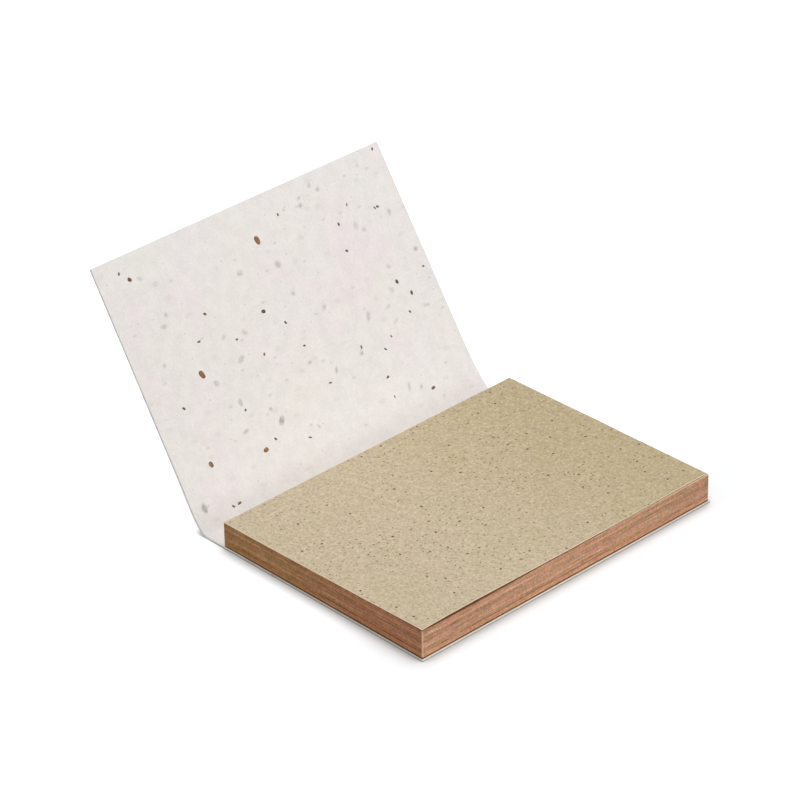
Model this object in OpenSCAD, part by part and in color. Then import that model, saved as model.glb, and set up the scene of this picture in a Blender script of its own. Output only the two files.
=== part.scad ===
// Small tear-off memo pad with a wrap-around cover of seed paper.
// The pad lies on its back cover with the front cover standing open.
// Origin: centre of the back cover's underside. X runs from the spine to the
// fore-edge, Y along the spine and Z up.

/* [Sheets] */
// Width of a sheet, from the glued spine to the fore-edge
sheet_w = 104; // [60:1:150]
// Length of a sheet, along the spine
sheet_l = 147; // [80:1:210]
// Thickness of the stack at its glued spine
block_h = 10.2; // [4:0.1:25]
// How much thicker the loose fore-edge is than the spine
block_fan = 1.3; // [0:0.1:3]
// Width beside the spine that the glue keeps pressed together
pinch_w = 14; // [5:1:25]
// Number of lifts, the small bundles of sheets that lie a little out of line
lift_count = 20; // [6:1:40]
// Step by which the edges of the lifts lie out of line
lift_step = 0.1; // [0:0.05:0.3]
// How far the top lift stands off the others along the fore-edge
top_gap = 0.35; // [0.1:0.05:0.6]
// How far that gap reaches inwards from the fore-edge
top_gap_w = 30; // [10:1:30]

/* [Cover] */
// Thickness of the cover sheet
cover_t = 0.6; // [0.4:0.05:1.2]
// How far the cover stands past the sheets at the head and tail
head_margin = 0.5; // [0:0.1:3]
// How far the cover stands past the sheets at the fore-edge
fore_margin = 0.5; // [0:0.1:3]
// Room between the glued spine and the cover folded up against it
spine_gap = 0.3; // [0.3:0.05:2]
// Room between the top sheet and the closed front cover
closed_gap = 1; // [0.7:0.05:2]
// Angle at which the open front cover leans back from upright
open_lean = 33; // [0:0.5:80]

/* [Glue] */
// Thickness of the padding glue brushed over the spine
spine_glue_t = 0.2; // [0.1:0.05:0.5]
// Thickness of the glue that holds the stack to the back cover
back_glue_t = 0.15; // [0.1:0.05:0.3]
// Width of that glue, beside the spine
back_glue_w = 12; // [5:1:40]

/* [Seeds] */
// Depth of a seed's bed in the cover sheet
seed_bed = 0.25; // [0.1:0.05:0.3]
// How far a seed stands out of the sheet
seed_proud = 0.15; // [0.05:0.05:0.3]
// Radius of a seed's back, which is rounded across its width
seed_back_r = 2.5; // [1.5:0.1:6]
// Room between a seed and the wall of its bed
seed_room = 0.04; // [0.02:0.01:0.1]

/* [Hidden] */
$fn = 48;

// The cover is one sheet: back panel, spine panel between two scores, front panel
panel_w = spine_gap + spine_glue_t + sheet_w + fore_margin;
panel_l = sheet_l + 2 * head_margin;
spine_panel_w = back_glue_t + block_h + block_fan + closed_gap;
back_score_x = -panel_w / 2;
front_score_x = back_score_x - spine_panel_w;
open_bend = 90 - open_lean;

// Stack of sheets
block_x = back_score_x + spine_gap + spine_glue_t;
block_z = cover_t + back_glue_t;
fan_w = sheet_w - pinch_w;
gap_x = sheet_w - top_gap_w;
top_lift = lift_count - 1;
stack_top = block_z + block_h + block_fan + top_gap;
edge_places = 3;
edge_seed = 7;
fore_shifts = edge_shifts(edge_seed);
head_shifts = edge_shifts(edge_seed + 1);
tail_shifts = edge_shifts(edge_seed + 2);

// Seeds: place up the front panel from its score and along it from the near end,
// both as a share of the panel, then length, width and turn on the sheet
seeds = [
    [0.85, 0.51, 3.8, 2.4, 20],
    [0.50, 0.19, 3.6, 2.2, 30],
    [0.20, 0.11, 2.6, 1.8, 30],
    [0.16, 0.28, 2.6, 1.8, 110],
    [0.61, 0.44, 2.0, 1.6, 90],
    [0.91, 0.10, 2.0, 1.5, 60],
    [0.50, 0.87, 1.9, 1.4, 30],
    [0.44, 0.90, 1.9, 1.2, 0],
    [0.09, 0.84, 2.2, 1.2, 110],
    [0.38, 0.87, 1.4, 0.8, 40],
    [0.34, 0.68, 1.8, 0.8, 170],
    [0.20, 0.72, 1.6, 0.9, 120],
    [0.18, 0.32, 1.5, 0.9, 45],
    [0.54, 0.49, 1.5, 0.9, 40],
    [0.61, 0.22, 1.8, 0.8, 90],
    [0.56, 0.33, 1.2, 0.8, 90],
    [0.47, 0.39, 1.4, 0.9, 160],
    [0.78, 0.91, 1.6, 1.0, 80],
    [0.78, 0.77, 1.6, 1.0, 15]
];

// How far inside the outline of the stack each lift's edge lies, in whole steps
function edge_shifts(seed) =
    [for (r = rands(0, edge_places, lift_count, seed)) lift_step * floor(r)];

// Height of the stack above its own underside, at x from the spine
function stack_h(x) = block_h + block_fan * max(0, x - pinch_w) / fan_w;

// Underside of lift i, at x from the spine
function lift_z(i, x) = block_z + stack_h(x) * i / lift_count;

// One panel of the cover, from a score at the origin towards -X, inner face at z = 0
module panel(w) {
    translate([-w, -panel_l / 2, -cover_t])
        cube([w, panel_l, cover_t]);
}

// Carries its children from a score at the origin to the open front panel
module on_front_panel() {
    translate([front_score_x, 0, cover_t])
        rotate([0, open_bend, 0])
            children();
}

// Pointed oval between two equal arcs
module pointed_oval(l, w) {
    r = (l * l + w * w) / (4 * w);
    intersection() {
        translate([0, r - w / 2]) circle(r);
        translate([0, w / 2 - r]) circle(r);
    }
}

// Carries its children to the place of a seed on the flat front panel
module at_seed(s) {
    translate([-s[0] * panel_w, (s[1] - 0.5) * panel_l, 0])
        rotate([0, 0, s[4]])
            children();
}

// Outline of lift i between two lines that fan out past the glued part, with
// its fore-edge raised by rise
module lift_outline(i, rise) {
    polygon([
        [0, lift_z(i, 0)],
        [pinch_w, lift_z(i, pinch_w)],
        [gap_x, lift_z(i, gap_x)],
        [sheet_w, lift_z(i, sheet_w) + rise],
        [sheet_w, lift_z(i + 1, sheet_w) + rise],
        [gap_x, lift_z(i + 1, gap_x)],
        [pinch_w, lift_z(i + 1, pinch_w)],
        [0, lift_z(i + 1, 0)]
    ]);
}

// Bundle of sheets number i, counted from the bottom, with its own edges
module lift(i) {
    head = sheet_l / 2 - head_shifts[i];
    tail = sheet_l / 2 - tail_shifts[i];
    intersection() {
        translate([block_x, sheet_l / 2, 0])
            rotate([90, 0, 0])
                linear_extrude(sheet_l)
                    lift_outline(i, i < top_lift ? 0 : top_gap);
        translate([block_x, -head, 0])
            cube([sheet_w - fore_shifts[i], head + tail, stack_top]);
    }
}

// Panel under the sheets
module back_cover() {
    color([0.93, 0.91, 0.88])
        translate([back_score_x + panel_w, 0, cover_t])
            panel(panel_w);
}

// Narrow panel between the two scores, flat on the table while the cover is open
module cover_spine() {
    color([0.93, 0.91, 0.88])
        translate([back_score_x, 0, cover_t])
            panel(spine_panel_w);
}

// Front panel standing open, with a bed for each large seed
module front_cover() {
    color([0.92, 0.90, 0.87])
        on_front_panel()
            difference() {
                panel(panel_w);
                for (s = seeds)
                    at_seed(s)
                        translate([0, 0, -seed_bed])
                            linear_extrude(2 * seed_bed)
                                pointed_oval(s[2] + 2 * seed_room, s[3] + 2 * seed_room);
            }
}

// Flower seeds pressed into the sheet: pointed ovals with a rounded back
module front_cover_seeds() {
    color([0.42, 0.25, 0.16])
        on_front_panel()
            for (s = seeds)
                at_seed(s)
                    intersection() {
                        translate([0, 0, -seed_bed])
                            linear_extrude(seed_bed + seed_proud)
                                pointed_oval(s[2], s[3]);
                        translate([0, 0, seed_proud - seed_back_r])
                            rotate([0, 90, 0])
                                cylinder(h = s[2], r = seed_back_r, center = true, $fn = 128);
                    }
}

// Stack of recycled paper, glued along the spine and loose at the fore-edge
module paper_block() {
    color([0.66, 0.51, 0.38])
        for (i = [0 : lift_count - 1])
            lift(i);
}

// Padding glue that holds the sheets together along the spine
module spine_glue() {
    color([0.88, 0.84, 0.74])
        translate([block_x - spine_glue_t, -sheet_l / 2, block_z])
            cube([spine_glue_t, sheet_l, block_h]);
}

// Glue between the last sheet and the back cover
module back_glue() {
    color([0.90, 0.88, 0.80])
        translate([block_x, -sheet_l / 2, cover_t])
            cube([back_glue_w, sheet_l, back_glue_t]);
}

back_cover();
cover_spine();
front_cover();
front_cover_seeds();
paper_block();
spine_glue();
back_glue();
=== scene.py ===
import math

import bpy
import numpy as np
from mathutils import Matrix, Vector


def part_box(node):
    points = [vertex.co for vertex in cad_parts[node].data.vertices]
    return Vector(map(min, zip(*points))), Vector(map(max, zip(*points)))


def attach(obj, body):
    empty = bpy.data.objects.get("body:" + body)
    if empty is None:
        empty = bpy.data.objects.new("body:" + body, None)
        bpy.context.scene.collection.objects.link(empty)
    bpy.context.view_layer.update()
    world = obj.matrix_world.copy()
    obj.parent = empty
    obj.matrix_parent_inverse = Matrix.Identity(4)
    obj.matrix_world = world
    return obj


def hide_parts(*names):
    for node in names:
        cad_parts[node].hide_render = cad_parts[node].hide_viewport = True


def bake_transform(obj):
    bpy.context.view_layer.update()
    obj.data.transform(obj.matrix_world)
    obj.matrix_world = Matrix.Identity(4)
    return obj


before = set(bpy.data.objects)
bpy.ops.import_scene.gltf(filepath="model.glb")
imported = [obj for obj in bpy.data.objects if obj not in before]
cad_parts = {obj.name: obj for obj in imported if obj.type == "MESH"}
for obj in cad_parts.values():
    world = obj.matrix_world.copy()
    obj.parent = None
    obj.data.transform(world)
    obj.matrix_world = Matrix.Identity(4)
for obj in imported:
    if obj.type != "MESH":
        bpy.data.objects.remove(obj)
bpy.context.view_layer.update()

MM = 0.001

# Sizes from the CAD
back_lo, back_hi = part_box("back_cover")
strip_lo, strip_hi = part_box("cover_spine")
front_lo, front_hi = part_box("front_cover")
block_lo, block_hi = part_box("paper_block")
glue_lo, glue_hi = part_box("spine_glue")

COVER_T = back_hi.z
PANEL_W = back_hi.x - back_lo.x
PANEL_L = back_hi.y - back_lo.y
BACK_SCORE_X = back_lo.x
FRONT_SCORE_X = strip_lo.x
STRIP_W = BACK_SCORE_X - FRONT_SCORE_X
REST_BEND = math.asin((front_hi.z - COVER_T) / PANEL_W)
BLOCK_Z = block_lo.z
SPINE_H = glue_hi.z - glue_lo.z
SHEET_W = block_hi.x - block_lo.x
SHEET_L = block_hi.y - block_lo.y

# Looks
FOLD_BEFORE = 3.8 * MM         # how far before the front score its soft fold starts
FOLD_PAST = 14.0 * MM          # how far past the score the fold runs out
FRONT_TRIM = 1.0 * MM          # how much shorter the front panel is cut than the back one
RIM_SLOPE = 0.32 * MM          # width of the soft slope along the sheet's cut edge
TWIST = math.radians(2.0)      # how much further the near end of the panel is folded than the far end
PANEL_WAVE = 0.15 * MM         # how far the free panel is out of flat
COVER_CELL = 0.62 * MM         # spacing of the cover's points
COLLAR = 0.12 * MM             # how high the pulp wells up round a seed
SEED_PROUD = 0.38 * MM         # how far the largest seed stands out of the sheet
SEED_BURIED = 0.25 * MM        # depth of a seed's lower part
SHEETS = 100
SHEET_CELL = 3.0 * MM          # spacing of the pile's points
BUNDLE_OUT = 0.09 * MM         # how far a bundle of sheets lies out of line, at most
GROOVE = 0.09 * MM             # depth of the groove between two sheets
FOOT_RECESS = 0.22 * MM        # how far back the lowest sheets' edges lie
HEAD_RECESS = 0.16 * MM        # how far back the highest ones' lie
PARTING = 0.22 * MM            # depth of the wider gap between the lower bundles and the rest
FAN_NEAR = 1.70 * MM           # how much the pile fans out at the near end
FAN_LOSS = 0.45 * MM           # how much less it fans out at the far end
DIP = 0.42 * MM                # how far the pile's fore-edge is pressed down near the front corner
TOP_CELL = 1.5 * MM            # spacing of the loose top sheet's points
TOP_T = 0.18 * MM              # thickness of the loose top sheet
PULLED_X = 0.65 * MM           # how far its far corner is pulled back from the fore-edge
PULLED_Y = 1.5 * MM            # how far that corner is pulled back from the far end

# The camera, fitted to the corners in the photo
AZIMUTH, ELEVATION, ROLL = (math.radians(a) for a in (46.95, 30.50, -1.24))
TARGET = Vector((-75.95, 37.95, 6.0)) * MM
DISTANCE = 1550.9 * MM
LENS, SENSOR = 181.5, 36.0


def smooth(a):
    """0 to 1 with soft ends, for values clipped to that range."""
    a = np.clip(a, 0.0, 1.0)
    return a * a * (3.0 - 2.0 * a)


def waves(rng, count, periods, *coords):
    """Sum of sine waves of random direction and phase over the given coordinates, within -1 to 1."""
    total = 0.0
    for _ in range(count):
        period = rng.uniform(*periods)
        heading = rng.uniform(0.0, 2.0 * math.pi)
        along = coords[0] * math.cos(heading) + (coords[1] * math.sin(heading) if len(coords) > 1 else 0.0)
        total = total + np.sin(2.0 * math.pi * along / period + rng.uniform(0.0, 2.0 * math.pi))
    return total / count


def mesh_object(name, points, faces, place=None, materials=(), face_material=None, smooth_angle=40.0,
                **floats):
    """A mesh from arrays, with its place in the flat material in millimetres and other values per point."""
    mesh = bpy.data.meshes.new(name)
    mesh.from_pydata(np.asarray(points, float).tolist(), [], [list(map(int, f)) for f in faces])
    mesh.update()
    if place is not None:
        mesh.attributes.new("place", "FLOAT_VECTOR", "POINT").data.foreach_set(
            "vector", (np.asarray(place, float) / MM).astype(np.float32).ravel())
    for key, values in floats.items():
        mesh.attributes.new(key, "FLOAT", "POINT").data.foreach_set(
            "value", np.asarray(values, np.float32).ravel())
    for material in materials:
        mesh.materials.append(material)
    if face_material is not None:
        mesh.polygons.foreach_set("material_index", np.asarray(face_material, np.int32))
    mesh.polygons.foreach_set("use_smooth", np.ones(len(mesh.polygons), bool))
    mesh.set_sharp_from_angle(angle=math.radians(smooth_angle))
    obj = bpy.data.objects.new(name, mesh)
    bpy.context.scene.collection.objects.link(obj)
    return obj


def grid_faces(index):
    """The loop of points round a grid of point numbers, and the grid's faces."""
    loop = np.concatenate([index[:-1, 0], index[-1, :-1], index[:0:-1, -1], index[0, :0:-1]])
    corners = index[:-1, :-1], index[1:, :-1], index[1:, 1:], index[:-1, 1:]
    return loop, np.stack(corners, -1).reshape(-1, 4)


def sheet_faces(index):
    """Faces of a thin sheet, which has an upper grid of points, a lower one and a ring between their borders,
    and 1 for each face of its rim, 0 for the others."""
    loop, quads = grid_faces(index)
    ring = 2 * index.size + np.arange(len(loop))
    after, ring_after = np.roll(loop, -1), np.roll(ring, -1)
    faces = np.concatenate([
        quads,
        quads[:, ::-1] + index.size,
        np.stack([ring, ring_after, after, loop], -1),
        np.stack([loop + index.size, after + index.size, ring_after, ring], -1)])
    return loop, faces, np.concatenate([np.zeros(2 * len(quads)), np.ones(2 * len(loop))])


# Shader helpers
class Nodes:
    """Adds shader nodes to one material, or to the world, a call at a time."""

    def __init__(self, name=None, owner=None):
        self.material = owner or bpy.data.materials.new(name)
        self.material.use_nodes = True
        self.tree = self.material.node_tree
        self.tree.nodes.clear()

    def add(self, kind, inputs=None, **settings):
        node = self.tree.nodes.new(kind)
        for key, value in settings.items():
            setattr(node, key, value)
        for key, value in (inputs or {}).items():
            if isinstance(value, bpy.types.NodeSocket):
                self.tree.links.new(value, node.inputs[key])
            else:
                node.inputs[key].default_value = value
        return node

    def place(self):
        """Where a point lies in the flat material, in millimetres."""
        node = self.add("ShaderNodeAttribute", attribute_type="GEOMETRY", attribute_name="place")
        return node.outputs["Vector"]

    def value(self, name):
        """A number that the mesh holds for each point."""
        node = self.add("ShaderNodeAttribute", attribute_type="GEOMETRY", attribute_name=name)
        return node.outputs["Fac"]

    def axes(self, vector):
        return self.add("ShaderNodeSeparateXYZ", {"Vector": vector}).outputs

    def stretch(self, vector, scale, offset=(0, 0, 0)):
        node = self.add("ShaderNodeMapping", {"Vector": vector, "Scale": scale, "Location": offset})
        return node.outputs["Vector"]

    def shift(self, vector, offset):
        return self.stretch(vector, (1, 1, 1), offset)

    def noise(self, vector, period, detail=2.0, roughness=0.5, distortion=0.0):
        return self.add("ShaderNodeTexNoise", {"Vector": vector, "Scale": 1.0 / period, "Detail": detail,
                        "Roughness": roughness, "Distortion": distortion}).outputs["Fac"]

    def cells(self, vector, period):
        """Distance to the nearest point scattered over the sheet, and that point's random colour."""
        node = self.add("ShaderNodeTexVoronoi", {"Vector": vector, "Scale": 1.0 / period, "Randomness": 1.0},
                        voronoi_dimensions="2D")
        return node.outputs["Distance"], node.outputs["Color"]

    def span(self, value, from_lo, from_hi, to_lo=0.0, to_hi=1.0):
        return self.add("ShaderNodeMapRange", {"Value": value, "From Min": from_lo, "From Max": from_hi,
                        "To Min": to_lo, "To Max": to_hi}, interpolation_type="SMOOTHSTEP").outputs["Result"]

    def math(self, operation, a, b=0.0):
        return self.add("ShaderNodeMath", {0: a, 1: b}, operation=operation).outputs[0]

    def mix(self, factor, a, b, blend="MIX"):
        node = self.add("ShaderNodeMix", data_type="RGBA", blend_type=blend)
        for index, value in ((0, factor), (6, a), (7, b)):
            if isinstance(value, bpy.types.NodeSocket):
                self.tree.links.new(value, node.inputs[index])
            else:
                node.inputs[index].default_value = value if index == 0 else (*value, 1.0)
        return node.outputs[2]

    def tint(self, colour, other, mask, strength):
        """Colour drawn towards the other one where the mask is 1, by that strength."""
        return self.mix(self.math("MULTIPLY", mask, strength), colour, other)

    def shade(self, colour, factor):
        """Colour times a grey factor."""
        grey = self.add("ShaderNodeCombineColor", {"Red": factor, "Green": factor, "Blue": factor})
        return self.mix(1.0, colour, grey.outputs["Color"], blend="MULTIPLY")

    def bump(self, height, distance, strength=1.0, normal=None):
        inputs = {"Height": height, "Distance": distance, "Strength": strength}
        if normal is not None:
            inputs["Normal"] = normal
        return self.add("ShaderNodeBump", inputs).outputs["Normal"]

    def finish(self, colour, roughness, normal=None, specular=0.3):
        inputs = {"Base Color": colour if isinstance(colour, bpy.types.NodeSocket) else (*colour, 1.0),
                  "Roughness": roughness, "Specular IOR Level": specular}
        if normal is not None:
            inputs["Normal"] = normal
        surface = self.add("ShaderNodeBsdfPrincipled", inputs)
        self.add("ShaderNodeOutputMaterial", {"Surface": surface.outputs["BSDF"]})
        return self.material


def random_pick(n, colour, keep):
    """1 for the share keep of the scattered cells, else 0."""
    red = n.add("ShaderNodeSeparateColor", {"Color": colour}).outputs["Red"]
    return n.math("LESS_THAN", red, keep)


def fleck_mask(n, vector, period, radius, keep):
    """Irregular small flecks of about that radius, one in a share keep of the cells of that period."""
    warp = n.add("ShaderNodeTexNoise", {"Vector": vector, "Scale": 1.6 / radius, "Detail": 2.0})
    offset = n.add("ShaderNodeVectorMath", {0: warp.outputs["Color"], 1: (0.5, 0.5, 0.5)},
                   operation="SUBTRACT").outputs[0]
    bent = n.add("ShaderNodeVectorMath", {0: offset, 3: radius * 1.6}, operation="SCALE").outputs[0]
    moved = n.add("ShaderNodeVectorMath", {0: vector, 1: bent}, operation="ADD").outputs[0]
    distance, colour = n.cells(moved, period)
    edge = radius / period
    spot = n.span(distance, edge * 0.55, edge * 1.1, 1.0, 0.0)
    return n.math("MULTIPLY", spot, random_pick(n, colour, keep))


def fibre_mask(n, vector, period, width, bend=2.0):
    """Thin curly lines, where a slow distorted noise crosses its middle."""
    field = n.noise(vector, period, detail=1.0, distortion=bend)
    off = n.math("ABSOLUTE", n.math("SUBTRACT", field, 0.5))
    line = n.span(off, 0.0, width, 1.0, 0.0)
    gate = n.span(n.noise(vector, period * 0.8, detail=1.0), 0.5, 0.62)
    return n.math("MULTIPLY", line, gate)


# Materials
def seed_paper_material():
    n = Nodes("seed_paper")
    place = n.place()
    ghost = n.value("ghost")
    colour = n.mix(n.span(n.noise(place, 30.0, 2.0), 0.35, 0.7), (0.862, 0.828, 0.818), (0.862, 0.836, 0.798))
    colour = n.mix(n.span(n.noise(n.shift(place, (70, 20, 5)), 24.0, 2.0), 0.42, 0.72), colour,
                   (0.872, 0.808, 0.812))
    colour = n.shade(colour, n.span(n.noise(place, 5.5, 3.0, 0.6), 0.3, 0.7, 0.965, 1.02))
    colour = n.shade(colour, n.span(n.noise(place, 1.0, 2.0, 0.6), 0.3, 0.7, 0.965, 1.025))
    light_fibres = fibre_mask(n, place, 3.2, 0.02, 3.0)
    colour = n.tint(colour, (0.93, 0.90, 0.87), light_fibres, 0.35)
    dark_fibres = fibre_mask(n, n.shift(place, (31, 47, 3)), 4.4, 0.014, 3.5)
    colour = n.tint(colour, (0.60, 0.52, 0.45), dark_fibres, 0.16)
    tan = fleck_mask(n, place, 9.0, 0.34, 0.35)
    colour = n.tint(colour, (0.42, 0.33, 0.24), tan, 0.40)
    chaff = fleck_mask(n, n.stretch(place, (1.0, 0.55, 1), (23, 17, 0)), 10.0, 0.6, 0.45)
    colour = n.tint(colour, (0.42, 0.37, 0.34), chaff, 0.26)
    buried = fleck_mask(n, n.stretch(place, (1, 0.6, 1), (13, 7, 0)), 9.0, 1.1, 0.5)
    colour = n.tint(colour, (0.50, 0.45, 0.42), buried, 0.13)
    uneven = n.span(n.noise(n.shift(place, (3, 8, 1)), 0.9, 2.0), 0.3, 0.6, 0.55, 1.0)
    ghost = n.math("MULTIPLY", ghost, uneven)
    colour = n.tint(colour, (0.30, 0.26, 0.245), ghost, 0.85)
    height = n.math("ADD", n.math("MULTIPLY", n.noise(place, 1.5, 4.0, 0.65), 0.7),
                    n.math("MULTIPLY", n.noise(place, 5.0, 2.0), 1.2))
    height = n.math("ADD", height, n.math("MULTIPLY", light_fibres, 0.35))
    return n.finish(colour, 0.92, n.bump(height, 0.12 * MM, 0.6), 0.2)


def paper_rim_material():
    n = Nodes("seed_paper_rim")
    place = n.place()
    at = n.axes(place)
    cloud = n.noise(place, 1.4, 3.0, 0.6)
    # The back cover's rim is cream, lighter and warmer than the paper: a painted highlight, tinted by a
    # painted reflection of the brown pile beside it. The front panel's rim keeps the paper's pale colour,
    # mixed in below.
    colour = n.mix(n.span(cloud, 0.35, 0.7), (0.90, 0.80, 0.66), (0.95, 0.90, 0.80))
    colour = n.mix(n.span(n.noise(place, 5.0, 2.0), 0.60, 0.75), colour, (0.78, 0.66, 0.50))
    # Painted shade: the rim darkens towards its lower edge, where it meets the table, and towards the far
    # end.
    colour = n.shade(colour, n.span(at["Z"], 0.10, 0.36, 1.0, 0.50))
    colour = n.shade(colour, n.span(at["Y"], 0.0, PANEL_L / MM / 2.0, 1.0, 0.85))
    pale = n.shade((0.84, 0.85, 0.82), n.span(cloud, 0.3, 0.7, 0.93, 1.04))
    colour = n.mix(n.span(at["X"], 0.0, STRIP_W / MM), colour, pale)
    return n.finish(colour, 0.95, None, 0.15)


def note_paper_material():
    n = Nodes("recycled_sheet")
    place = n.place()
    flat = n.stretch(place, (1, 1, 0))
    at = n.axes(place)
    # Painted shading: lighter at the near end, darker and yellower towards the far end.
    colour = n.mix(n.span(at["Y"], -30.0, 80.0), (0.597, 0.498, 0.348), (0.512, 0.418, 0.262))
    cloud = n.span(n.noise(flat, 24.0, 2.0), 0.40, 0.70)
    colour = n.mix(cloud, colour, n.mix(1.0, colour, (0.975, 0.985, 0.955), blend="MULTIPLY"))
    colour = n.shade(colour, n.span(n.noise(flat, 3.2, 3.0, 0.6), 0.3, 0.7, 0.95, 1.05))
    fine = n.noise(n.shift(flat, (9, 2, 4)), 0.9, 3.0, 0.7)
    colour = n.shade(colour, n.span(fine, 0.3, 0.7, 0.83, 1.15))
    rosy = n.span(n.noise(n.shift(flat, (50, 9, 2)), 2.2, 2.0), 0.60, 0.72)
    colour = n.tint(colour, (0.66, 0.49, 0.33), rosy, 0.5)
    colour = n.tint(colour, (0.30, 0.225, 0.12), fleck_mask(n, flat, 2.3, 0.38, 0.55), 0.38)
    crowd = n.span(n.noise(n.shift(flat, (6, 1, 9)), 14.0, 2.0), 0.40, 0.62, 0.30, 0.85)
    small = fleck_mask(n, n.shift(flat, (21, 2, 0)), 3.1, 0.42, 0.50)
    colour = n.tint(colour, (0.140, 0.092, 0.048), small, crowd)
    large = fleck_mask(n, n.shift(flat, (9, 5, 0)), 8.5, 0.56, 0.34)
    colour = n.tint(colour, (0.075, 0.048, 0.024), large, 0.92)
    light = fleck_mask(n, n.shift(flat, (3, 8, 0)), 2.6, 0.42, 0.55)
    colour = n.tint(colour, (0.78, 0.70, 0.52), light, 0.50)
    fibres = fibre_mask(n, flat, 2.4, 0.022, 3.0)
    colour = n.tint(colour, (0.34, 0.26, 0.15), fibres, 0.32)
    pale = fibre_mask(n, n.shift(flat, (17, 23, 0)), 2.8, 0.020, 3.0)
    colour = n.tint(colour, (0.76, 0.68, 0.52), pale, 0.40)
    rare = fleck_mask(n, n.shift(flat, (2, 31, 0)), 26.0, 0.8, 0.5)
    colour = n.tint(colour, (0.56, 0.33, 0.12), rare, 0.7)
    # Painted highlight: a light band along the sheet's fore-edge and near end, where its cut edge catches the
    # light.
    from_edge = n.math("MINIMUM", n.math("SUBTRACT", SHEET_W / MM / 2.0, at["X"]),
                       n.math("ADD", SHEET_L / MM / 2.0, at["Y"]))
    colour = n.mix(n.span(from_edge, 0.15, 0.55, 0.6, 0.0), colour, (0.88, 0.68, 0.48))
    height = n.noise(flat, 0.7, 4.0, 0.65)
    return n.finish(colour, 0.9, n.bump(height, 0.05 * MM, 0.5), 0.2)


def cut_edge_material():
    n = Nodes("recycled_cut_edges")
    place = n.place()
    bundle = n.value("bundle")
    at = n.axes(place)
    half_w, half_l = SHEET_W / MM / 2.0, SHEET_L / MM / 2.0
    foot, thick = BLOCK_Z / MM, SPINE_H / MM
    lines = n.stretch(place, (0.035, 0.035, 2.4))
    colour = n.mix(n.span(n.noise(lines, 1.0, 3.0, 0.6), 0.34, 0.68), (0.630, 0.335, 0.188),
                   (0.860, 0.540, 0.355))
    patches = n.stretch(place, (0.14, 0.14, 0.6), (11, 3, 5))
    colour = n.mix(n.span(n.noise(patches, 1.0, 2.0), 0.50, 0.74), colour, (0.84, 0.45, 0.31))
    olive = n.stretch(place, (0.20, 0.20, 0.8), (41, 13, 2))
    colour = n.mix(n.span(n.noise(olive, 1.0, 2.0), 0.55, 0.76), colour, (0.66, 0.45, 0.235))
    low_lifts = n.span(at["Z"], foot + 0.19 * thick, foot + 0.25 * thick, 0.45, 0.0)
    colour = n.mix(low_lifts, colour, (0.83, 0.43, 0.215))
    tone = n.add("ShaderNodeTexWhiteNoise", {"W": bundle}, noise_dimensions="1D").outputs["Value"]
    colour = n.shade(colour, n.span(tone, 0.0, 1.0, 0.85, 1.12))
    dark = n.stretch(place, (0.06, 0.06, 2.5), (7, 29, 1))
    colour = n.mix(n.span(n.noise(dark, 1.0, 2.0, 0.6), 0.58, 0.70, 0.0, 0.60), colour, (0.30, 0.145, 0.070))
    bright = n.stretch(place, (0.08, 0.08, 2.7), (3, 9, 21))
    colour = n.mix(n.span(n.noise(bright, 1.0, 2.0, 0.6), 0.58, 0.72, 0.0, 0.70), colour, (0.97, 0.72, 0.55))
    # Painted shade: a dark line, in runs along its length, where the wider gap between the lower bundles and
    # the rest lies.
    off = n.math("ABSOLUTE", n.math("SUBTRACT", at["Z"], foot + 0.22 * thick))
    runs = n.span(n.noise(n.stretch(place, (0.03, 0.03, 0.03)), 1.0, 1.0), 0.42, 0.58)
    parting = n.math("MULTIPLY", n.span(off, 0.12, 0.32, 0.7, 0.0), runs)
    colour = n.mix(parting, colour, (0.30, 0.14, 0.07))
    rosy = n.span(n.noise(n.shift(place, (19, 7, 3)), 1.3, 2.0, 0.6), 0.52, 0.66, 0.0, 0.40)
    colour = n.mix(rosy, colour, (0.84, 0.43, 0.33))
    colour = n.shade(colour, n.span(n.noise(place, 0.9, 3.0, 0.7), 0.3, 0.7, 0.80, 1.19))
    # Painted shading along the length: lightest midway, a little darker towards the near end and more so
    # towards the far end.
    colour = n.shade(colour, n.span(at["Y"], -half_l, 0.0, 1.0, 1.05))
    colour = n.shade(colour, n.span(at["Y"], 0.0, half_l, 1.0, 0.90))
    # Painted shade cast: the head and tail faces are tinted yellower towards the spine and redder towards the
    # fore-edge, the colour the shaded head face shows; the fore-edge face keeps the plain colour.
    end = n.mix(n.span(at["X"], -half_w, half_w), (1.00, 0.965, 0.69), (1.09, 0.905, 0.80))
    on_end = n.span(n.math("ABSOLUTE", at["Y"]), half_l - 0.9, half_l - 0.6)
    colour = n.mix(on_end, colour, n.mix(1.0, colour, end, blend="MULTIPLY"))
    # Painted highlight: a light peach line down the front corner, where the head and fore-edge faces meet.
    inside = n.math("ADD", n.math("SUBTRACT", half_w, at["X"]), n.math("ADD", half_l, at["Y"]))
    colour = n.mix(n.span(inside, 0.45, 0.95, 0.80, 0.0), colour, (1.00, 0.70, 0.47))
    # Painted shade: the lowest sheets' edges darken to deep brown, a contact shadow at the pile's foot. The
    # pile's top cells along the gap under the loose sheet take part of this shade.
    colour = n.mix(n.span(at["Z"], foot + 0.30, foot + 0.55, 0.9, 0.0), colour, (0.150, 0.070, 0.032))
    height = n.noise(n.stretch(place, (1, 1, 6)), 1.2, 4.0, 0.7)
    return n.finish(colour, 0.95, n.bump(height, 0.08 * MM, 0.7), 0.15)


def sheet_rim_material():
    n = Nodes("recycled_sheet_rim")
    place = n.place()
    # Painted highlight: the loose sheet's cut edge is cream, much lighter than the pile's edges, where light
    # from above catches it.
    colour = n.mix(n.span(n.noise(place, 1.6, 3.0, 0.6), 0.35, 0.7), (0.86, 0.74, 0.56), (0.95, 0.87, 0.70))
    colour = n.mix(n.span(n.noise(place, 6.0, 2.0), 0.60, 0.75), colour, (0.66, 0.50, 0.33))
    return n.finish(colour, 0.95, None, 0.15)


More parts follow.
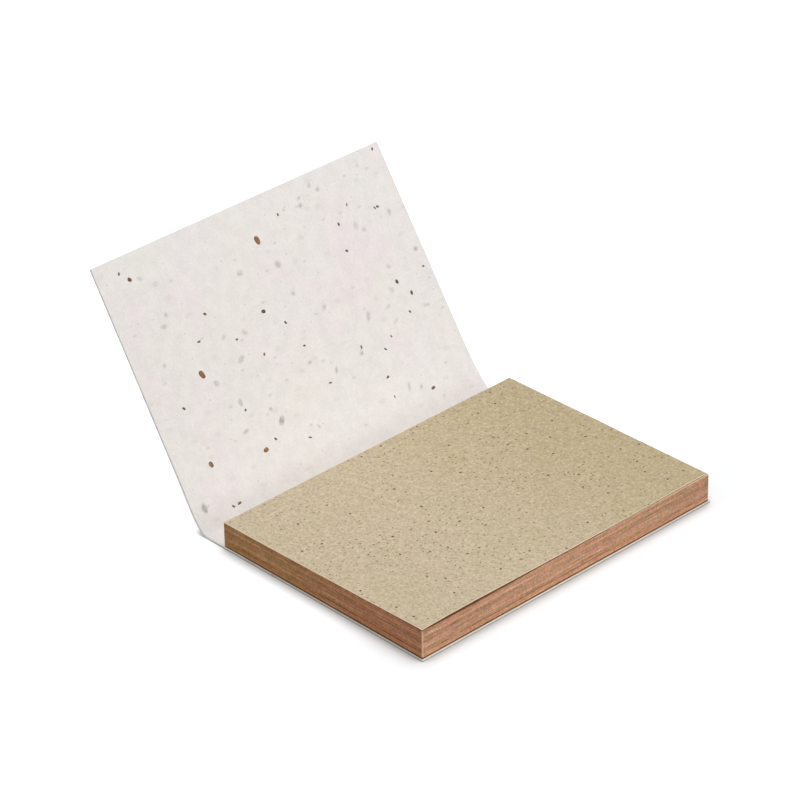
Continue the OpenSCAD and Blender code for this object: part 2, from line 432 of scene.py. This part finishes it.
def seed_material():
    n = Nodes("seed")
    place = n.place()
    tone = n.value("tone")
    grain = n.noise(n.stretch(place, (0.35, 2.4, 1)), 0.5, 4.0, 0.65)
    brown = n.mix(n.span(grain, 0.35, 0.7), (0.20, 0.075, 0.032), (0.46, 0.22, 0.105))
    brown = n.mix(n.span(n.noise(place, 0.8, 3.0), 0.52, 0.72), brown, (0.55, 0.33, 0.19))
    grey = n.mix(n.span(grain, 0.35, 0.7), (0.045, 0.032, 0.026), (0.16, 0.12, 0.095))
    colour = n.mix(tone, brown, grey)
    # Painted shade: the seed darkens from its crest down to its sides and ends, where it sinks into the
    # paper.
    edge = n.value("edge")
    colour = n.tint(colour, (0.040, 0.017, 0.010), n.span(edge, 0.35, 0.85), 0.85)
    pulp = n.span(n.noise(n.shift(place, (5, 5, 5)), 0.9, 3.0, 0.6), 0.62, 0.72)
    colour = n.tint(colour, (0.80, 0.74, 0.70), pulp, 0.35)
    return n.finish(colour, 0.62, n.bump(grain, 0.10 * MM, 0.8), 0.3)


def glue_material():
    n = Nodes("padding_glue")
    at = n.add("ShaderNodeTexCoord").outputs["Object"]
    along = n.add("ShaderNodeVectorMath", {0: at, 3: 1.0 / MM}, operation="SCALE").outputs[0]
    colour = n.mix(n.span(n.noise(along, 7.0, 3.0), 0.35, 0.7), (0.78, 0.72, 0.58), (0.86, 0.81, 0.70))
    brushed = n.noise(n.stretch(along, (1, 0.12, 2.2)), 0.9, 3.0, 0.6)
    colour = n.shade(colour, n.span(brushed, 0.3, 0.7, 0.94, 1.04))
    return n.finish(colour, 0.42, n.bump(brushed, 0.08 * MM, 0.6), 0.5)


# Cover
def folded(q, v, depth, proud=0.0):
    """Points of the folded cover sheet, and its inner face's normals there. q runs along the sheet from the
    back score towards the front panel, v along the scores, depth goes down from the inner face, proud up."""
    q, v, depth, proud = np.broadcast_arrays(*(np.asarray(a, float) for a in (q, v, depth, proud)))
    bend = REST_BEND - TWIST * v / PANEL_L
    past = q - STRIP_W
    along = np.clip(past + FOLD_BEFORE, 0.0, FOLD_BEFORE + FOLD_PAST)
    spread = FOLD_PAST - FOLD_BEFORE
    t = (np.sqrt(FOLD_BEFORE ** 2 + spread * along) - FOLD_BEFORE) / spread
    on_strip = FOLD_BEFORE * (1.0 - t) ** 2 + np.maximum(0.0, -FOLD_BEFORE - past)
    on_panel = FOLD_PAST * t ** 2 + np.maximum(0.0, past - FOLD_PAST)
    run = FOLD_BEFORE * (1.0 - t) + FOLD_PAST * t * np.cos(bend)
    climb = FOLD_PAST * t * np.sin(bend)
    normal = np.stack([climb, np.zeros_like(t), run], -1) / np.hypot(run, climb)[..., None]
    x = FRONT_SCORE_X + on_strip - on_panel * np.cos(bend)
    z = COVER_T + on_panel * np.sin(bend)
    return np.stack([x, v, z], -1) + normal * (proud - depth)[..., None], normal


def panel_wave(q, v):
    """How far the free front panel stands in front of flat, zero up to the fold."""
    rng = np.random.default_rng(5)
    free = smooth((q - STRIP_W - FOLD_PAST) / (60.0 * MM))
    return PANEL_WAVE * free * (0.5 + 0.5 * waves(rng, 5, (50 * MM, 120 * MM), q, v))


def seed_places():
    """Each CAD seed on the flat front panel: how far past the front score, how far along it, length, width
    and turn."""
    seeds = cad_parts["front_cover_seeds"].data
    points = np.array([p.co for p in seeds.vertices], float)
    up = np.array([-math.cos(REST_BEND), 0.0, math.sin(REST_BEND)])
    flat = np.stack([(points - [FRONT_SCORE_X, 0.0, COVER_T]) @ up, points[:, 1]], -1)
    flat = np.unique(flat.round(6), axis=0)
    places = []
    left = np.ones(len(flat), bool)
    while left.any():
        group = np.zeros(len(flat), bool)
        group[np.flatnonzero(left)[0]] = True
        size = 0
        while group.sum() > size:
            size = group.sum()
            reach = np.linalg.norm(flat[:, None, :] - flat[group][None, :, :], axis=-1).min(axis=1)
            group = left & (reach < 1.4 * MM)
        own = flat[group]
        ends = own[:, None, :] - own[None, :, :]
        span = np.linalg.norm(ends, axis=-1)
        i, j = np.unravel_index(span.argmax(), span.shape)
        axis = (own[j] - own[i]) / span[i, j]
        across = own @ np.array([-axis[1], axis[0]])
        centre = (own[i] + own[j]) / 2.0
        places.append((centre[0], centre[1], span[i, j], across.max() - across.min(),
                       math.atan2(axis[1], axis[0])))
        left &= ~group
    return sorted(places)


# The plainest marks of seeds buried in the front panel: shares up and along it, length and width in mm,
# strength
BURIED = [
    (0.07, 0.04, 3.4, 1.8, 1.0), (0.23, 0.36, 3.0, 2.0, 0.9), (0.90, 0.68, 1.6, 1.4, 0.8),
    (0.58, 0.97, 1.7, 1.4, 0.8), (0.74, 0.54, 2.6, 2.2, 0.6), (0.43, 0.74, 3.4, 1.4, 0.6),
    (0.49, 0.32, 3.4, 1.8, 0.5), (0.71, 0.14, 2.4, 1.6, 0.5), (0.45, 0.22, 2.4, 1.8, 0.5),
    (0.75, 0.82, 2.6, 1.8, 0.4),
]

# The plainest dark husks level with the surface: shares up and along the panel, length and width in mm,
# degrees
HUSKS = [
    (0.03, 0.14, 2.0, 0.9, 70), (0.03, 0.12, 1.5, 0.9, 130), (0.69, 0.27, 1.4, 0.9, 110),
    (0.42, 0.10, 1.5, 0.9, 130), (0.68, 0.76, 1.4, 0.9, 110), (0.78, 0.90, 1.4, 0.7, 150),
    (0.98, 0.97, 1.3, 0.8, 10), (0.51, 0.97, 1.3, 0.6, 100), (0.32, 0.27, 1.1, 0.9, 30),
    (0.13, 0.42, 1.6, 0.6, 110),
]


def buried_marks(q, v, marks):
    """Strength of the buried seeds' marks at points of the flat sheet."""
    total = np.zeros(np.broadcast(q, v).shape)
    for k, (up, along, length, width, strength) in enumerate(marks):
        turn = 0.7 * k
        a = q - STRIP_W - up * PANEL_W
        b = v - (along - 0.5) * PANEL_L
        l = (a * math.cos(turn) + b * math.sin(turn)) / (0.5 * length * MM)
        w = (b * math.cos(turn) - a * math.sin(turn)) / (0.5 * width * MM)
        total = np.maximum(total, strength * smooth(1.6 - np.hypot(l, w)))
    return total


def faint_marks(seed, count, lowest):
    """Marks scattered over the sheet, from a lowest share up the front panel to its top."""
    rng = np.random.default_rng(seed)
    return [(rng.uniform(lowest, 0.97), rng.uniform(0.03, 0.97), rng.uniform(1.2, 2.8), rng.uniform(0.8, 1.8),
             rng.uniform(0.3, 0.7)) for _ in range(count)]


def pulp_collar(q, v, seeds):
    """Height of the pulp that wells up round each seed."""
    total = np.zeros(np.broadcast(q, v).shape)
    for up, along, length, width, turn in seeds:
        a, b = q - STRIP_W - up, v - along
        l = (a * math.cos(turn) + b * math.sin(turn)) / (0.5 * length + 0.35 * MM)
        w = (b * math.cos(turn) - a * math.sin(turn)) / (0.5 * width + 0.35 * MM)
        total = np.maximum(total, np.exp(-((np.hypot(l, w) - 1.0) / 0.35) ** 2))
    return COLLAR * total


def cover_piece(name, q_lo, q_hi, materials, seeds=()):
    """Part of the cover sheet between two distances from the back score, with both faces and a soft rim."""
    rng = np.random.default_rng(11)
    qs = np.linspace(q_lo, q_hi, 1 + round((q_hi - q_lo) / COVER_CELL))
    vs = np.linspace(-PANEL_L / 2.0, PANEL_L / 2.0, 1 + round(PANEL_L / COVER_CELL))
    q, v = np.meshgrid(qs, vs, indexing="ij")
    end_v = (np.abs(np.abs(v) - PANEL_L / 2.0) < 1e-9) * np.sign(v)
    end_q = (np.abs(q - (STRIP_W + PANEL_W)) < 1e-9) * 1.0 - (np.abs(q + PANEL_W) < 1e-9) * 1.0
    v = v * (1.0 - FRONT_TRIM / PANEL_L * smooth((q - STRIP_W) / (20.0 * MM)))
    wave = panel_wave(q, v)
    inner, _ = folded(q - RIM_SLOPE * end_q, v - RIM_SLOPE * end_v, 0.0, wave + pulp_collar(q, v, seeds))
    outer, _ = folded(q, v, COVER_T, wave)
    loop, faces, kinds = sheet_faces(np.arange(q.size).reshape(q.shape).T)
    lq, lv = q.ravel()[loop], v.ravel()[loop]
    fray = rng.uniform(-0.03, 0.06, len(loop)) * MM
    middle, _ = folded(lq + fray * end_q.ravel()[loop], lv + fray * end_v.ravel()[loop], COVER_T * 0.62,
                       wave.ravel()[loop])
    points = np.concatenate([inner.reshape(-1, 3), outer.reshape(-1, 3), middle])
    place = np.concatenate([
        np.stack([q, v, np.zeros_like(q)], -1).reshape(-1, 3),
        np.stack([q, v + 3.0 * PANEL_L, np.full_like(q, COVER_T)], -1).reshape(-1, 3),
        np.stack([lq, lv, np.full_like(lq, COVER_T * 0.5)], -1)])
    ghost = np.concatenate([buried_marks(q, v, BURIED + faint_marks(41, 30, 0.05)).ravel(),
                            buried_marks(q, v, faint_marks(29, 76, -1.05)).ravel(), np.zeros(len(loop))])
    return mesh_object(name, points, faces, place, materials, kinds, smooth_angle=35.0, ghost=ghost)


def bend_at_front_score(obj):
    """Bakes the object's transform into its mesh."""
    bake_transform(obj)


def build_cover(materials, seeds):
    seam = STRIP_W / 2.0
    lower = cover_piece("cover_back_sheet", -PANEL_W, seam, materials)
    upper = cover_piece("cover_front_sheet", seam, STRIP_W + PANEL_W, materials, seeds)
    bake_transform(lower)
    bend_at_front_score(upper)
    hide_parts("back_cover")
    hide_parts("front_cover", "cover_spine")


# Seeds
def seed_shape(rng, length, width, proud):
    """One husk on the flat sheet round the origin, pointed at both ends, its lower part buried."""
    around, stations = 20, 15
    t = np.linspace(-1.0, 1.0, stations)
    girth = np.sqrt(np.clip(1.0 - np.abs(t) ** 2.2, 0.0, 1.0)) * (1.0 + 0.12 * t)
    angle = np.linspace(0.0, 2.0 * math.pi, around, endpoint=False)
    ridge = 1.0 + 0.05 * np.sin(5.0 * angle + rng.uniform(0, 6)) + 0.03 * rng.uniform(-1, 1, around)
    points = [(-length / 2.0, 0.0, 0.0)]
    edge = [1.0]
    for s, g in zip(t[1:-1], girth[1:-1]):
        for a, r in zip(angle, ridge):
            y = 0.5 * width * g * r * math.cos(a)
            z = math.sin(a) * r * g
            z = proud * z if z > 0 else SEED_BURIED * z
            points.append((0.5 * length * s, y + 0.06 * width * math.sin(2.0 * s), z))
            # edge: 1 at the seed's sides and ends, 0 on its crest, for the seed material's painted shade.
            edge.append(1.0 - max(0.0, math.sin(a)) * g)
    points.append((length / 2.0, 0.0, 0.0))
    edge.append(1.0)
    last = len(points) - 1
    faces = [(0, 1 + (k + 1) % around, 1 + k) for k in range(around)]
    for j in range(stations - 3):
        base = 1 + j * around
        faces += [(base + k, base + (k + 1) % around, base + around + (k + 1) % around, base + around + k)
                  for k in range(around)]
    base = 1 + (stations - 3) * around
    faces += [(base + k, base + (k + 1) % around, last) for k in range(around)]
    return np.array(points), faces, edge


def seed_set(name, places, material, face=1.0):
    """Seeds in one mesh, on the inner face of the cover, or on the outer one where face is -1."""
    rng = np.random.default_rng(21)
    points, faces, tones, spots, edges = [], [], [], [], []
    for up, along, length, width, turn in places:
        proud = min(SEED_PROUD, 0.17 * width + 0.02 * MM)
        own, own_faces, edge = seed_shape(rng, length, width, proud)
        c, s = math.cos(turn), math.sin(turn)
        dq = own[:, 0] * c - own[:, 1] * s
        dv = own[:, 0] * s + own[:, 1] * c
        q, v = STRIP_W + up + dq, along + dv
        wave = panel_wave(q, v)
        if face > 0:
            at, normal = folded(q, v, 0.0, wave)
        else:
            at, normal = folded(q, v, COVER_T, wave)
            own_faces = [f[::-1] for f in own_faces]
        start = sum(len(p) for p in points)
        points.append(at + normal * own[:, 2:3] * face)
        faces += [tuple(i + start for i in f) for f in own_faces]
        spots.append(own + rng.uniform(0, 0.1, 3))
        edges.append(edge)
        big = length > 2.4 * MM
        tones.append(np.full(len(own), rng.uniform(0.0, 0.25) if big else rng.uniform(0.55, 1.0)))
    obj = mesh_object(name, np.concatenate(points), faces, np.concatenate(spots), [material],
                      smooth_angle=60.0, tone=np.concatenate(tones), edge=np.concatenate(edges))
    return obj


def scattered(seed, count, longest):
    """Places of seeds anywhere on the front panel, none longer than so many millimetres."""
    rng = np.random.default_rng(seed)
    return [(rng.uniform(0.08, 0.95) * PANEL_W, rng.uniform(-0.45, 0.45) * PANEL_L,
             rng.uniform(1.2, longest) * MM, rng.uniform(0.3, 0.55) * longest * MM, rng.uniform(0, math.pi))
            for _ in range(count)]


def build_seeds(material, places):
    inner = seed_set("seeds_inside", places, material)
    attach(inner, "front_panel")
    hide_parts("front_cover_seeds")
    husks = [(up * PANEL_W, (along - 0.5) * PANEL_L, length * MM, width * MM, math.radians(turn))
             for up, along, length, width, turn in HUSKS]
    husks += scattered(13, 8, 1.5)
    bend_at_front_score(seed_set("husks_inside", husks, material))
    bend_at_front_score(seed_set("seeds_outside", scattered(33, 30, 3.6), material, face=-1.0))


# Sheets
def near_dip(y):
    """How much further the pile's fore-edge is pressed down a little way from the near end."""
    along = (y - block_lo.y) / SHEET_L
    return DIP * smooth(along / 0.08) * smooth((0.42 - along) / 0.28)


def stack_height(x, y):
    """Height of the pile over its own underside; it fans out past the glue, more at the near end."""
    share = np.clip((x - block_lo.x) / SHEET_W, 0.0, 1.0)
    along = np.clip((y - block_lo.y) / SHEET_L, 0.0, 1.0)
    fan = FAN_NEAR - FAN_LOSS * along - near_dip(y) * share
    return SPINE_H - 0.15 * MM + fan * smooth(share * 0.88 + 0.03) ** 0.85


def top_rise(x, y):
    """How far the loose top sheet stands off the pile along the fore-edge."""
    inward = (block_hi.x - x) / (38.0 * MM)
    along = (y - block_lo.y) / SHEET_L
    mouth = np.interp(along, [0.0, 0.03, 0.09, 0.17, 0.30, 0.42, 0.50, 0.70, 1.0],
                      [0.30, 0.46, 0.64, 0.66, 0.52, 0.42, 0.34, 0.28, 0.22]) * MM
    return (mouth + near_dip(y)) * smooth(1.0 - inward) ** 1.3


def sheet_grid(cell):
    xs = np.linspace(block_lo.x, block_hi.x, 1 + round(SHEET_W / cell))
    ys = np.linspace(block_lo.y, block_hi.y, 1 + round(SHEET_L / cell))
    return np.meshgrid(xs, ys, indexing="ij")


def inward(at, lo, hi, from_lo):
    """Which way, and how strongly, border points move off the outline: -1 at its upper end, from_lo at its
    lower one and 0 between them."""
    return np.where(np.abs(at - hi) < 1e-9, -1.0, np.where(np.abs(at - lo) < 1e-9, from_lo, 0.0))


def bundle_shifts(rng):
    """For each sheet, how far back its bundle's edges lie at the fore-edge, the head and the tail, and the
    number of the bundle's first sheet."""
    shifts, number = np.zeros((SHEETS, 3)), np.zeros(SHEETS)
    k = 0
    while k < SHEETS:
        size = rng.integers(2, 8)
        shifts[k:k + size] = rng.uniform(0.0, BUNDLE_OUT, 3)
        number[k:k + size] = k
        k += size
    return shifts, number


def pile_rings(rng, lx, ly):
    """Rings of points round the pile, three to a sheet, with their places in the flat material and the
    number of the bundle at each point."""
    inward_x = inward(lx, block_lo.x, block_hi.x, 0.25)
    inward_y = inward(ly, block_lo.y, block_hi.y, 1.0)
    height = stack_height(lx, ly)
    shifts, number = bundle_shifts(rng)
    wander = waves(rng, 4, (30 * MM, 90 * MM), lx, ly)
    rings, places, bundles = [], [], []
    for i in range(SHEETS):
        recess = FOOT_RECESS * (i < 3) + HEAD_RECESS * (i > SHEETS - 5)
        parting = PARTING * (abs(i - round(0.2 * SHEETS)) < 2)
        shift_x = shifts[i, 0] + rng.uniform(0.0, 0.03) * MM + recess + parting
        shift_y = np.where(inward_y < 0, shifts[i, 1], shifts[i, 2]) + rng.uniform(0.0, 0.03) * MM + recess
        ripple = rng.uniform(-0.015, 0.015, len(lx)) * MM + 0.03 * MM * wander * math.sin(0.35 * i)
        for level, groove in ((0.06, 0.0), (0.80, 0.0), (0.93, GROOVE)):
            if i == SHEETS - 1 and groove:
                continue
            px = lx + inward_x * (shift_x + groove + np.abs(ripple))
            py = ly + inward_y * (shift_y + groove + np.abs(ripple))
            pz = BLOCK_Z + height * (i + level) / SHEETS
            rings.append(np.stack([px, py, pz], -1))
            places.append(np.stack([px, py, np.full_like(px, BLOCK_Z + SPINE_H * (i + level) / SHEETS)], -1))
            bundles.append(np.full(len(lx), number[i]))
    return rings, places, bundles


def build_pile(paper, edge):
    """All the sheets but the loose one on top, each with its own slightly shifted cut edge."""
    x, y = sheet_grid(SHEET_CELL)
    loop, quads = grid_faces(np.arange(x.size).reshape(x.shape))
    rings, places, bundles = pile_rings(np.random.default_rng(3), x.ravel()[loop], y.ravel()[loop])
    m, count = len(loop), len(rings)
    step = np.arange(m)
    ahead = np.roll(step, -1)
    ring_faces = np.stack([step, ahead, m + ahead, m + step], -1)
    sides = np.concatenate([ring_faces + r * m for r in range(count - 1)])
    top = np.stack([x, y, BLOCK_Z + stack_height(x, y)], -1).reshape(-1, 3)
    bottom = np.stack([x, y, np.full_like(x, BLOCK_Z)], -1).reshape(-1, 3)
    top_start, bottom_start = count * m, count * m + x.size
    last = (count - 1) * m
    crown = np.stack([last + step, last + ahead, top_start + loop[ahead], top_start + loop], -1)
    sole = np.stack([bottom_start + loop, bottom_start + loop[ahead], ahead, step], -1)
    all_faces = np.concatenate([sides, crown, sole, quads + top_start, quads[:, ::-1] + bottom_start])
    # Painted shade in the gap under the loose top sheet: the pile's top cells along the near 60 % of the
    # fore-edge and along the near end take the cut-edge material, at a height in it where it is partly the
    # dark foot shade.
    border = np.zeros((x.shape[0] - 1, x.shape[1] - 1))
    border[-1, :round(0.6 * x.shape[1])] = border[:, 0] = 1.0
    kinds = np.concatenate([np.ones(len(sides) + 2 * m), border.ravel(), np.zeros(len(quads))])
    flat = np.stack([x, y, np.full_like(x, BLOCK_Z + 0.40 * MM)], -1).reshape(-1, 3)
    obj = mesh_object("sheets", np.concatenate(rings + [top, bottom]), all_faces,
                      np.concatenate(places + [flat + [0, 0.3, 0], flat + [0.2, 0.3, 0]]), [paper, edge],
                      kinds, smooth_angle=30.0, bundle=np.concatenate(bundles + [np.zeros(2 * x.size)]))
    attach(obj, "pad")
    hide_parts("paper_block")


def build_top_sheet(paper, rim):
    """The loose top sheet, standing a little off the pile along the fore-edge."""
    rng = np.random.default_rng(8)
    x, y = sheet_grid(TOP_CELL)
    share_x = (x - block_lo.x) / SHEET_W
    share_y = (y - block_lo.y) / SHEET_L
    px = x - share_x * smooth((share_y - 0.5) / 0.5) * PULLED_X
    py = y - share_y * smooth((share_x - 0.45) / 0.55) * PULLED_Y * smooth((share_y - 0.8) / 0.2)
    under = BLOCK_Z + stack_height(px, py) + 0.01 * MM + top_rise(px, py)
    loop, faces, kinds = sheet_faces(np.arange(x.size).reshape(x.shape))
    fx = rng.uniform(-0.015, 0.03, len(loop)) * MM
    lx, ly = px.ravel()[loop], py.ravel()[loop]
    on_x = np.abs(np.abs(x.ravel()[loop] - (block_lo.x + block_hi.x) / 2) - SHEET_W / 2) < 1e-9
    on_y = np.abs(np.abs(y.ravel()[loop]) - SHEET_L / 2) < 1e-9
    middle = np.stack([lx + fx * on_x * np.sign(lx), ly + fx * on_y * np.sign(ly),
                       under.ravel()[loop] + TOP_T / 2], -1)
    points = np.concatenate([np.stack([px, py, under + TOP_T], -1).reshape(-1, 3),
                             np.stack([px, py, under], -1).reshape(-1, 3), middle])
    flat = np.stack([x, y, np.zeros_like(x)], -1).reshape(-1, 3)
    place = np.concatenate([flat, flat + [0.4, 0.1, 0], middle])
    obj = mesh_object("top_sheet", points, faces, place, [paper, rim], kinds, smooth_angle=35.0)
    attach(obj, "pad")
    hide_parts("paper_block")


# Glue
def build_spine_glue(material):
    """Brushed film of padding glue over the spine, a little uneven and just over the top edge."""
    rng = np.random.default_rng(17)
    ys = np.linspace(glue_lo.y, glue_hi.y, 200)
    zs = np.linspace(glue_lo.z, glue_lo.z + SPINE_H - 0.05 * MM, 24)
    y, z = np.meshgrid(ys, zs, indexing="ij")
    thick = glue_hi.x - glue_lo.x
    wall = 0.75 + 0.25 * waves(rng, 7, (3 * MM, 18 * MM), y, z * 0.4)
    ends = smooth((y - glue_lo.y) / (0.8 * MM) + 0.15) * smooth((glue_hi.y - y) / (0.8 * MM) + 0.15)
    caps = smooth((z - glue_lo.z) / (0.5 * MM) + 0.3) * smooth((zs[-1] - z) / (0.5 * MM) + 0.3)
    x = glue_hi.x - thick * wall * ends * caps
    front = np.stack([x, y, z], -1).reshape(-1, 3)
    rear = np.stack([np.full_like(x, glue_hi.x + 0.02 * MM), y, z], -1).reshape(-1, 3)
    count = y.size
    loop, quads = grid_faces(np.arange(count).reshape(y.shape))
    quads = quads[:, [0, 3, 2, 1]]
    after = np.roll(loop, -1)
    rim = np.stack([loop, after, after + count, loop + count], -1)
    faces = np.concatenate([quads, quads[:, ::-1] + count, rim])
    points = np.concatenate([front, rear])
    obj = mesh_object("spine_film", points, faces, points, [material])
    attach(obj, "pad")
    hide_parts("spine_glue")


def dress_back_glue(material):
    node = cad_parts["back_glue"]
    node.data.materials.clear()
    node.data.materials.append(material)


# Stage, light, camera
def seen_directly(n):
    """1 for what the camera sees, straight, mirrored or through glass, and 0 for the light thrown on."""
    path = n.add("ShaderNodeLightPath")
    mirrored = n.math("MAXIMUM", path.outputs["Is Glossy Ray"], path.outputs["Is Transmission Ray"])
    return n.math("MAXIMUM", path.outputs["Is Camera Ray"], mirrored)


def floor_material():
    """White where it is seen, with the object's shadow, deepened close to the object by painted contact shade
    and washed out behind the fold, in front of the head and away from the fore-edge by a painted glow; plain
    grey for the light that it throws back.
    """
    n = Nodes("floor")
    at = n.axes(n.add("ShaderNodeTexCoord").outputs["Object"])
    # Painted light: the glow seen on the floor is stronger behind the fold and in front of the head, washing
    # out the cover's shadow there, and grows away from the fore-edge.
    behind = n.span(at["X"], FRONT_SCORE_X - 5 * MM, FRONT_SCORE_X + 5 * MM, 0.85, 0.16)
    away = n.span(at["X"], 0.0, back_hi.x - 7 * MM, 0.40, 0.20)
    close = n.span(at["X"], 0.0, back_hi.x - 7 * MM, 0.27, 0.16)
    before = n.span(at["Y"], back_lo.y - 7 * MM, back_lo.y, away, close)
    beside = n.span(at["X"], back_hi.x + 2 * MM, back_hi.x + 9 * MM, 0.0, 0.10)
    lift = n.math("ADD", n.math("MAXIMUM", behind, before), beside)
    # Painted shade: the floor's colour darkens where it is closed in close to the object, except past the
    # fold.
    open_sky = n.add("ShaderNodeAmbientOcclusion", {"Distance": 6.0 * MM}).outputs["AO"]
    touching = n.span(open_sky, 0.45, 0.92, 0.62, 1.0)
    past_fold = n.span(at["X"], FRONT_SCORE_X - 6 * MM, FRONT_SCORE_X + 4 * MM, 1.0, 0.0)
    contact = n.math("MAXIMUM", touching, past_fold)
    near = n.add("ShaderNodeBsdfDiffuse", {"Color": n.shade((0.85, 0.875, 0.895), contact)})
    glow = n.add("ShaderNodeEmission", {"Color": (1.0, 1.0, 1.0, 1.0),
                                        "Strength": n.math("MULTIPLY", lift, contact)})
    seen = n.add("ShaderNodeAddShader", {0: near.outputs[0], 1: glow.outputs[0]})
    plain = n.add("ShaderNodeBsdfDiffuse", {"Color": (0.30, 0.30, 0.30, 1.0)})
    surface = n.add("ShaderNodeMixShader", {0: seen_directly(n), 1: plain.outputs[0], 2: seen.outputs[0]})
    n.add("ShaderNodeOutputMaterial", {"Surface": surface.outputs[0]})
    return n.material


def build_floor():
    half = 3.0
    z = -0.03 * MM
    floor = mesh_object("floor", [(-half, -half, z), (half, -half, z), (half, half, z), (-half, half, z)],
                        [(0, 1, 2, 3)], materials=[floor_material()])


def soft_box(name, direction, distance, size, power, colour):
    data = bpy.data.lights.new(name, "AREA")
    data.shape = "DISK"
    data.size = size
    data.energy = power
    data.color = colour
    light = bpy.data.objects.new(name, data)
    way = Vector(direction).normalized()
    light.location = way * distance
    light.rotation_euler = way.to_track_quat("Z", "Y").to_euler()
    bpy.context.scene.collection.objects.link(light)


def build_light():
    """Soft light from above and a weaker one from the fore-edge's side; the room behind is white."""
    world = bpy.data.worlds.new("room")
    n = Nodes(owner=world)
    room = n.add("ShaderNodeBackground", {"Color": (1.0, 1.0, 1.0, 1.0), "Strength": 0.42})
    white = n.add("ShaderNodeBackground", {"Color": (1.0, 1.0, 1.0, 1.0), "Strength": 1.0})
    pick = n.add("ShaderNodeMixShader", {0: seen_directly(n), 1: room.outputs[0], 2: white.outputs[0]})
    n.add("ShaderNodeOutputWorld", {"Surface": pick.outputs[0]})
    bpy.context.scene.world = world
    soft_box("overhead", (0.02, 0.16, 1.0), 1.5, 1.4, 12.0, (1.0, 0.99, 0.98))
    soft_box("side", (0.92, 0.16, 0.38), 1.5, 1.2, 7.5, (1.0, 0.98, 0.96))


def build_camera():
    """Seen from the front right and above, as a long lens sees it."""
    level = math.cos(ELEVATION)
    back = Vector((math.sin(AZIMUTH) * level, -math.cos(AZIMUTH) * level, math.sin(ELEVATION)))
    right = Vector((math.cos(AZIMUTH), math.sin(AZIMUTH), 0.0))
    up = back.cross(right)
    turned_right = right * math.cos(ROLL) + up * math.sin(ROLL)
    turned_up = up * math.cos(ROLL) - right * math.sin(ROLL)
    data = bpy.data.cameras.new("camera")
    data.lens = LENS
    data.sensor_width = SENSOR
    data.clip_start, data.clip_end = 0.05, 20.0
    camera = bpy.data.objects.new("camera", data)
    place = TARGET + back * DISTANCE
    camera.matrix_world = Matrix((
        (turned_right.x, turned_up.x, back.x, place.x),
        (turned_right.y, turned_up.y, back.y, place.y),
        (turned_right.z, turned_up.z, back.z, place.z),
        (0.0, 0.0, 0.0, 1.0)))
    bpy.context.scene.collection.objects.link(camera)
    bpy.context.scene.camera = camera


def main():
    bpy.context.scene.view_settings.view_transform = "Standard"
    paper, edge, rim = note_paper_material(), cut_edge_material(), sheet_rim_material()
    husk, glue = seed_material(), glue_material()
    places = seed_places()
    build_cover([seed_paper_material(), paper_rim_material()], places)
    build_seeds(husk, places)
    build_pile(paper, edge)
    build_top_sheet(paper, rim)
    build_spine_glue(glue)
    dress_back_glue(glue)
    build_floor()
    build_light()
    build_camera()


main()
